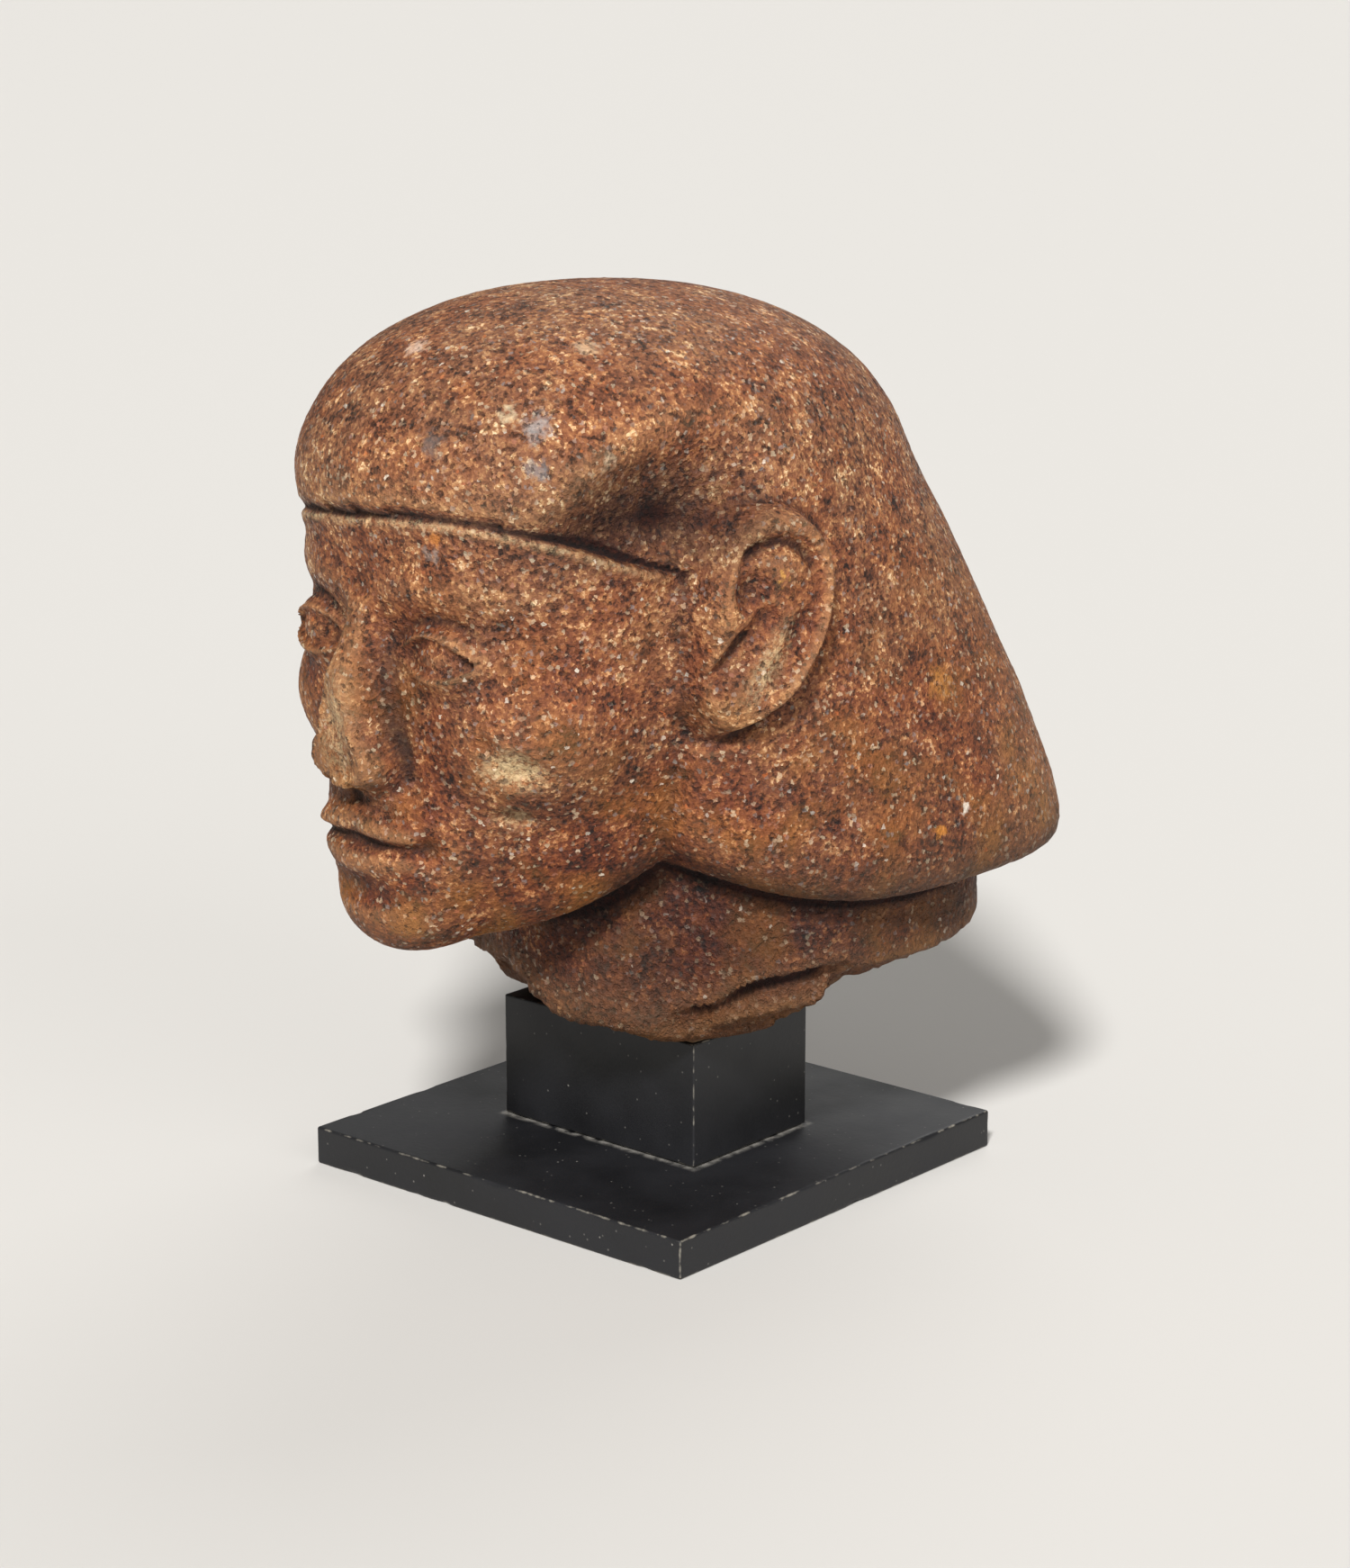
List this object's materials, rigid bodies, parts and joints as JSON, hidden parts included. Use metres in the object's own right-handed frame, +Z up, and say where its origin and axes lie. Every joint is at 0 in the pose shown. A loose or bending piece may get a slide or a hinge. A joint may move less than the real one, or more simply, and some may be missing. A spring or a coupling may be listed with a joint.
{
  "type": "carved stone head on a block mount",
  "caption": "Ancient-style carved stone head with a plain bag wig and bare ears, broken off at the neck and set on a black block and plate.",
  "frame": {"origin": "middle of the plate's underside", "axes": "+Z up, the face looks towards -Y, +X is to the right of somebody facing it from the front"},
  "size_m": [0.2026, 0.234, 0.2766],
  "materials": {
    "brown_granite": "ground smooth and weathered, coarse bright grains",
    "block_paint": "satin black, worn at the edges",
    "plate_paint": "satin black, worn and chipped at the edges"
  },
  "bodies": {
    "root": {"stone_head": "brown_granite", "mount_block": "block_paint", "base_plate": "plate_paint"}
  },
  "joints": []
}
